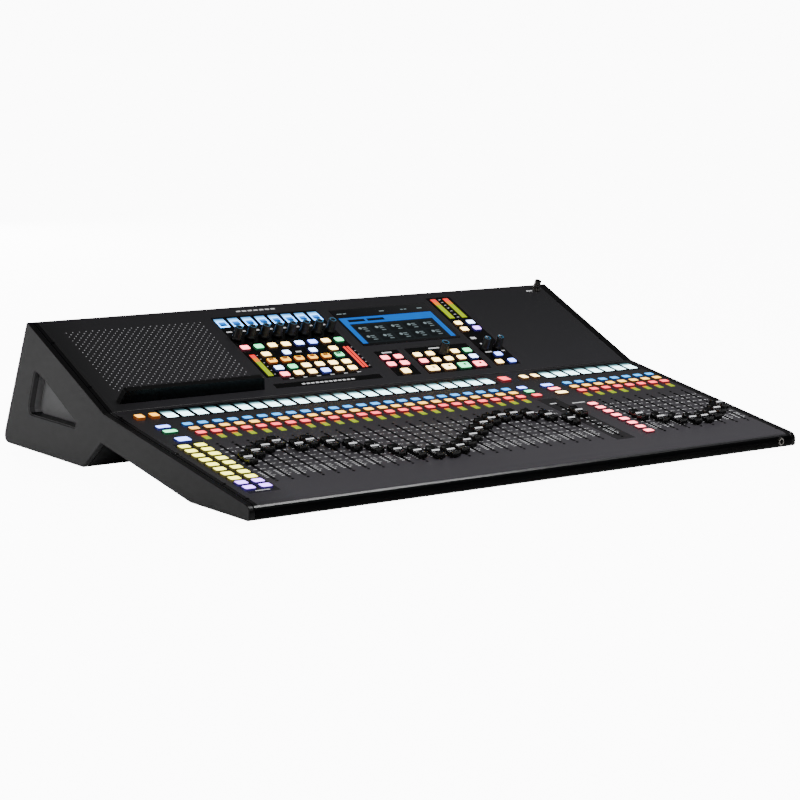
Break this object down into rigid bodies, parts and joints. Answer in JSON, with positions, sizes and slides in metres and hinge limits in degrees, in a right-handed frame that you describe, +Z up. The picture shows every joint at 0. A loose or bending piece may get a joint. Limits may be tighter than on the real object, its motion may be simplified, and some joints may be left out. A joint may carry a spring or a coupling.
{
  "type": "mixing console",
  "caption": "Wedge-shaped digital mixing console with a fader deck, lit keys, display windows, encoders, a touchscreen, a tablet rest and carrying recesses in its cheeks.",
  "frame": {"origin": "on the floor under the middle of the bounding box", "axes": "+X across to the player's right, +Y from the front edge to the rear panel, +Z up"},
  "size_m": [0.835, 0.5746, 0.1753],
  "materials": {
    "deck_paint": "satin fine-textured powder coat, very dark grey",
    "upper_deck_paint": "satin powder coat, near black",
    "cheek_paint": "matte fine-textured dark grey",
    "screen_glass": "polished cover glass over a dark display",
    "black_plastic": "satin black moulding",
    "plated_steel": "bright zinc plate",
    "circuit_board": "green solder resist",
    "fader_cap": "satin black with a white centre line",
    "knob_rubber": "soft black",
    "key_silicone": "milky translucent silicone, lit in colours from below",
    "display_window": "lit pale cyan display behind flush glass",
    "light_bar": "lit diffuser bars, red, amber and green",
    "printed_ink": "screen-printed white marks",
    "printed_plate": "glossy black overlay",
    "foot_rubber": "matte black",
    "connector_black": "moulded nylon",
    "screw_steel": "black oxide"
  },
  "bodies": {
    "console": {"base_tray": "deck_paint", "rear_panel": "deck_paint", "upper_deck": "upper_deck_paint", "fader_deck": "deck_paint", "left_cheek": "cheek_paint", "right_cheek": "cheek_paint", "touchscreen": "screen_glass", "tablet_ledge": "black_plastic", "lamp_socket": "plated_steel", "main_circuit_board": "circuit_board", "fader_bank": "plated_steel", "power_supply": "plated_steel"},
    "fader_01": {"fader_01": "fader_cap"},
    "fader_02": {"fader_02": "fader_cap"},
    "fader_03": {"fader_03": "fader_cap"},
    "fader_04": {"fader_04": "fader_cap"},
    "fader_05": {"fader_05": "fader_cap"},
    "fader_06": {"fader_06": "fader_cap"},
    "fader_07": {"fader_07": "fader_cap"},
    "fader_08": {"fader_08": "fader_cap"},
    "fader_09": {"fader_09": "fader_cap"},
    "fader_10": {"fader_10": "fader_cap"},
    "fader_11": {"fader_11": "fader_cap"},
    "fader_12": {"fader_12": "fader_cap"},
    "fader_13": {"fader_13": "fader_cap"},
    "fader_14": {"fader_14": "fader_cap"},
    "fader_15": {"fader_15": "fader_cap"},
    "fader_16": {"fader_16": "fader_cap"},
    "fader_17": {"fader_17": "fader_cap"},
    "fader_18": {"fader_18": "fader_cap"},
    "fader_19": {"fader_19": "fader_cap"},
    "fader_20": {"fader_20": "fader_cap"},
    "fader_21": {"fader_21": "fader_cap"},
    "fader_22": {"fader_22": "fader_cap"},
    "fader_23": {"fader_23": "fader_cap"},
    "fader_24": {"fader_24": "fader_cap"},
    "fader_25": {"fader_25": "fader_cap"},
    "fader_26": {"fader_26": "fader_cap"},
    "fader_27": {"fader_27": "fader_cap"},
    "fader_28": {"fader_28": "fader_cap"},
    "fader_29": {"fader_29": "fader_cap"},
    "fader_30": {"fader_30": "fader_cap"},
    "fader_31": {"fader_31": "fader_cap"},
    "fader_32": {"fader_32": "fader_cap"},
    "main_fader": {"main_fader": "fader_cap"},
    "channel_encoder_1": {"channel_encoder_1": "knob_rubber"},
    "channel_encoder_2": {"channel_encoder_2": "knob_rubber"},
    "channel_encoder_3": {"channel_encoder_3": "knob_rubber"},
    "channel_encoder_4": {"channel_encoder_4": "knob_rubber"},
    "channel_encoder_5": {"channel_encoder_5": "knob_rubber"},
    "channel_encoder_6": {"channel_encoder_6": "knob_rubber"},
    "channel_encoder_7": {"channel_encoder_7": "knob_rubber"},
    "channel_encoder_8": {"channel_encoder_8": "knob_rubber"},
    "transport_encoder": {"transport_encoder": "knob_rubber"},
    "phones_knob": {"phones_knob": "knob_rubber"},
    "monitor_knob": {"monitor_knob": "knob_rubber"},
    "fader_deck_keymat": {"fader_deck_keymat": "key_silicone"},
    "channel_keymat": {"channel_keymat": "key_silicone"},
    "navigation_keymat": {"navigation_keymat": "key_silicone"},
    "power_switch": {"power_switch": "black_plastic"}
  },
  "joints": [
    {"name": "fader_01_slide", "type": "slide", "parent": "console", "child": "fader_01", "axis": [0, 0.9847, 0.1745], "range_m": [-0.052, 0.048]},
    {"name": "fader_02_slide", "type": "slide", "parent": "console", "child": "fader_02", "axis": [0, 0.9847, 0.1745], "range_m": [-0.069, 0.031]},
    {"name": "fader_03_slide", "type": "slide", "parent": "console", "child": "fader_03", "axis": [0, 0.9847, 0.1745], "range_m": [-0.081, 0.019]},
    {"name": "fader_04_slide", "type": "slide", "parent": "console", "child": "fader_04", "axis": [0, 0.9847, 0.1745], "range_m": [-0.09, 0.01]},
    {"name": "fader_05_slide", "type": "slide", "parent": "console", "child": "fader_05", "axis": [0, 0.9847, 0.1745], "range_m": [-0.074, 0.026]},
    {"name": "fader_06_slide", "type": "slide", "parent": "console", "child": "fader_06", "axis": [0, 0.9847, 0.1745], "range_m": [-0.082, 0.018]},
    {"name": "fader_07_slide", "type": "slide", "parent": "console", "child": "fader_07", "axis": [0, 0.9847, 0.1745], "range_m": [-0.07, 0.03]},
    {"name": "fader_08_slide", "type": "slide", "parent": "console", "child": "fader_08", "axis": [0, 0.9847, 0.1745], "range_m": [-0.054, 0.046]},
    {"name": "fader_09_slide", "type": "slide", "parent": "console", "child": "fader_09", "axis": [0, 0.9847, 0.1745], "range_m": [-0.039, 0.061]},
    {"name": "fader_10_slide", "type": "slide", "parent": "console", "child": "fader_10", "axis": [0, 0.9847, 0.1745], "range_m": [-0.022, 0.078]},
    {"name": "fader_11_slide", "type": "slide", "parent": "console", "child": "fader_11", "axis": [0, 0.9847, 0.1745], "range_m": [-0.011, 0.089]},
    {"name": "fader_12_slide", "type": "slide", "parent": "console", "child": "fader_12", "axis": [0, 0.9847, 0.1745], "range_m": [-0.003, 0.097]},
    {"name": "fader_13_slide", "type": "slide", "parent": "console", "child": "fader_13", "axis": [0, 0.9847, 0.1745], "range_m": [-0.001, 0.099]},
    {"name": "fader_14_slide", "type": "slide", "parent": "console", "child": "fader_14", "axis": [0, 0.9847, 0.1745], "range_m": [-0.01, 0.09]},
    {"name": "fader_15_slide", "type": "slide", "parent": "console", "child": "fader_15", "axis": [0, 0.9847, 0.1745], "range_m": [-0.024, 0.076]},
    {"name": "fader_16_slide", "type": "slide", "parent": "console", "child": "fader_16", "axis": [0, 0.9847, 0.1745], "range_m": [-0.039, 0.061]},
    {"name": "fader_17_slide", "type": "slide", "parent": "console", "child": "fader_17", "axis": [0, 0.9847, 0.1745], "range_m": [-0.055, 0.045]},
    {"name": "fader_18_slide", "type": "slide", "parent": "console", "child": "fader_18", "axis": [0, 0.9847, 0.1745], "range_m": [-0.072, 0.028]},
    {"name": "fader_19_slide", "type": "slide", "parent": "console", "child": "fader_19", "axis": [0, 0.9847, 0.1745], "range_m": [-0.083, 0.017]},
    {"name": "fader_20_slide", "type": "slide", "parent": "console", "child": "fader_20", "axis": [0, 0.9847, 0.1745], "range_m": [-0.089, 0.011]},
    {"name": "fader_21_slide", "type": "slide", "parent": "console", "child": "fader_21", "axis": [0, 0.9847, 0.1745], "range_m": [-0.091, 0.009]},
    {"name": "fader_22_slide", "type": "slide", "parent": "console", "child": "fader_22", "axis": [0, 0.9847, 0.1745], "range_m": [-0.084, 0.016]},
    {"name": "fader_23_slide", "type": "slide", "parent": "console", "child": "fader_23", "axis": [0, 0.9847, 0.1745], "range_m": [-0.073, 0.027]},
    {"name": "fader_24_slide", "type": "slide", "parent": "console", "child": "fader_24", "axis": [0, 0.9847, 0.1745], "range_m": [-0.053, 0.047]},
    {"name": "fader_25_slide", "type": "slide", "parent": "console", "child": "fader_25", "axis": [0, 0.9847, 0.1745], "range_m": [-0.041, 0.059]},
    {"name": "fader_26_slide", "type": "slide", "parent": "console", "child": "fader_26", "axis": [0, 0.9847, 0.1745], "range_m": [-0.023, 0.077]},
    {"name": "fader_27_slide", "type": "slide", "parent": "console", "child": "fader_27", "axis": [0, 0.9847, 0.1745], "range_m": [-0.013, 0.087]},
    {"name": "fader_28_slide", "type": "slide", "parent": "console", "child": "fader_28", "axis": [0, 0.9847, 0.1745], "range_m": [-0.008, 0.092]},
    {"name": "fader_29_slide", "type": "slide", "parent": "console", "child": "fader_29", "axis": [0, 0.9847, 0.1745], "range_m": [-0.008, 0.092]},
    {"name": "fader_30_slide", "type": "slide", "parent": "console", "child": "fader_30", "axis": [0, 0.9847, 0.1745], "range_m": [-0.015, 0.085]},
    {"name": "fader_31_slide", "type": "slide", "parent": "console", "child": "fader_31", "axis": [0, 0.9847, 0.1745], "range_m": [-0.029, 0.071]},
    {"name": "fader_32_slide", "type": "slide", "parent": "console", "child": "fader_32", "axis": [0, 0.9847, 0.1745], "range_m": [-0.046, 0.054]},
    {"name": "main_fader_slide", "type": "slide", "parent": "console", "child": "main_fader", "axis": [0, 0.9847, 0.1745], "range_m": [-0.076, 0.024]},
    {"name": "channel_encoder_1_turn", "type": "hinge", "parent": "console", "child": "channel_encoder_1", "pos_m": [-0.1545, 0.15234, 0.13375], "axis": [0, -0.4179, 0.9085], "continuous": true},
    {"name": "channel_encoder_2_turn", "type": "hinge", "parent": "console", "child": "channel_encoder_2", "pos_m": [-0.1337, 0.15234, 0.13375], "axis": [0, -0.4179, 0.9085], "continuous": true},
    {"name": "channel_encoder_3_turn", "type": "hinge", "parent": "console", "child": "channel_encoder_3", "pos_m": [-0.1129, 0.15234, 0.13375], "axis": [0, -0.4179, 0.9085], "continuous": true},
    {"name": "channel_encoder_4_turn", "type": "hinge", "parent": "console", "child": "channel_encoder_4", "pos_m": [-0.0921, 0.15234, 0.13375], "axis": [0, -0.4179, 0.9085], "continuous": true},
    {"name": "channel_encoder_5_turn", "type": "hinge", "parent": "console", "child": "channel_encoder_5", "pos_m": [-0.0713, 0.15234, 0.13375], "axis": [0, -0.4179, 0.9085], "continuous": true},
    {"name": "channel_encoder_6_turn", "type": "hinge", "parent": "console", "child": "channel_encoder_6", "pos_m": [-0.0505, 0.15234, 0.13375], "axis": [0, -0.4179, 0.9085], "continuous": true},
    {"name": "channel_encoder_7_turn", "type": "hinge", "parent": "console", "child": "channel_encoder_7", "pos_m": [-0.0297, 0.15234, 0.13375], "axis": [0, -0.4179, 0.9085], "continuous": true},
    {"name": "channel_encoder_8_turn", "type": "hinge", "parent": "console", "child": "channel_encoder_8", "pos_m": [-0.0089, 0.15234, 0.13375], "axis": [0, -0.4179, 0.9085], "continuous": true},
    {"name": "transport_encoder_turn", "type": "hinge", "parent": "console", "child": "transport_encoder", "pos_m": [0.126, 0.08348, 0.10208], "axis": [0, -0.4179, 0.9085], "continuous": true},
    {"name": "phones_knob_turn", "type": "hinge", "parent": "console", "child": "phones_knob", "pos_m": [0.1982, 0.08421, 0.10241], "axis": [0, -0.4179, 0.9085], "range_deg": [-150, 150]},
    {"name": "monitor_knob_turn", "type": "hinge", "parent": "console", "child": "monitor_knob", "pos_m": [0.2205, 0.08421, 0.10241], "axis": [0, -0.4179, 0.9085], "range_deg": [-150, 150]},
    {"name": "fader_deck_keymat_press", "type": "slide", "parent": "console", "child": "fader_deck_keymat", "axis": [0, -0.1745, 0.9847], "range_m": [-0.001, 0], "stiffness_N_per_m": 8000, "springref_m": 0.0015},
    {"name": "channel_keymat_press", "type": "slide", "parent": "console", "child": "channel_keymat", "axis": [0, -0.4179, 0.9085], "range_m": [-0.001, 0], "stiffness_N_per_m": 3000, "springref_m": 0.0015},
    {"name": "navigation_keymat_press", "type": "slide", "parent": "console", "child": "navigation_keymat", "axis": [0, -0.4179, 0.9085], "range_m": [-0.001, 0], "stiffness_N_per_m": 3000, "springref_m": 0.0015},
    {"name": "power_switch_rock", "type": "hinge", "parent": "console", "child": "power_switch", "pos_m": [-0.365, 0.26412, 0.06021], "axis": [-1, 0, 0], "range_deg": [0, 20]}
  ]
}
